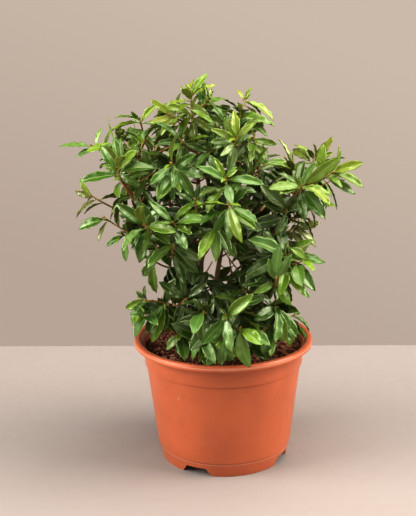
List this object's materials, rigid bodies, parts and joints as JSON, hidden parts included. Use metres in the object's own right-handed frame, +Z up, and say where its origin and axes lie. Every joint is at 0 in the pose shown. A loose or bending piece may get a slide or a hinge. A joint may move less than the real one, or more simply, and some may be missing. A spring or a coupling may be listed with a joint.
{
  "type": "potted bay laurel",
  "caption": "Evergreen bay laurel bush with waved leaves on woody stems, standing in a round tapered nursery pot of bark and coir.",
  "frame": {"origin": "on the ground under the middle of the whole bush, with the pot's axis at x = 26 mm, y = -21.5 mm", "axes": "+Z up, -Y towards the side seen in the picture, +X to that view's right"},
  "size_m": [0.4421, 0.3937, 0.6013],
  "materials": {
    "terracotta_plastic": "satin moulded terracotta-coloured plastic",
    "bark_and_coir": "rough, loose and damp",
    "bay_leaf": "waxy semi-gloss above, paler and matte below"
  },
  "bodies": {
    "root": {"pot": "terracotta_plastic", "growing_medium": "bark_and_coir", "stem_left": "bay_leaf", "stem_leader": "bay_leaf", "stem_centre": "bay_leaf", "stem_right": "bay_leaf", "stem_low_right": "bay_leaf", "stem_low_left": "bay_leaf", "stem_front": "bay_leaf", "stem_back_left": "bay_leaf", "stem_back_right": "bay_leaf"}
  },
  "joints": []
}
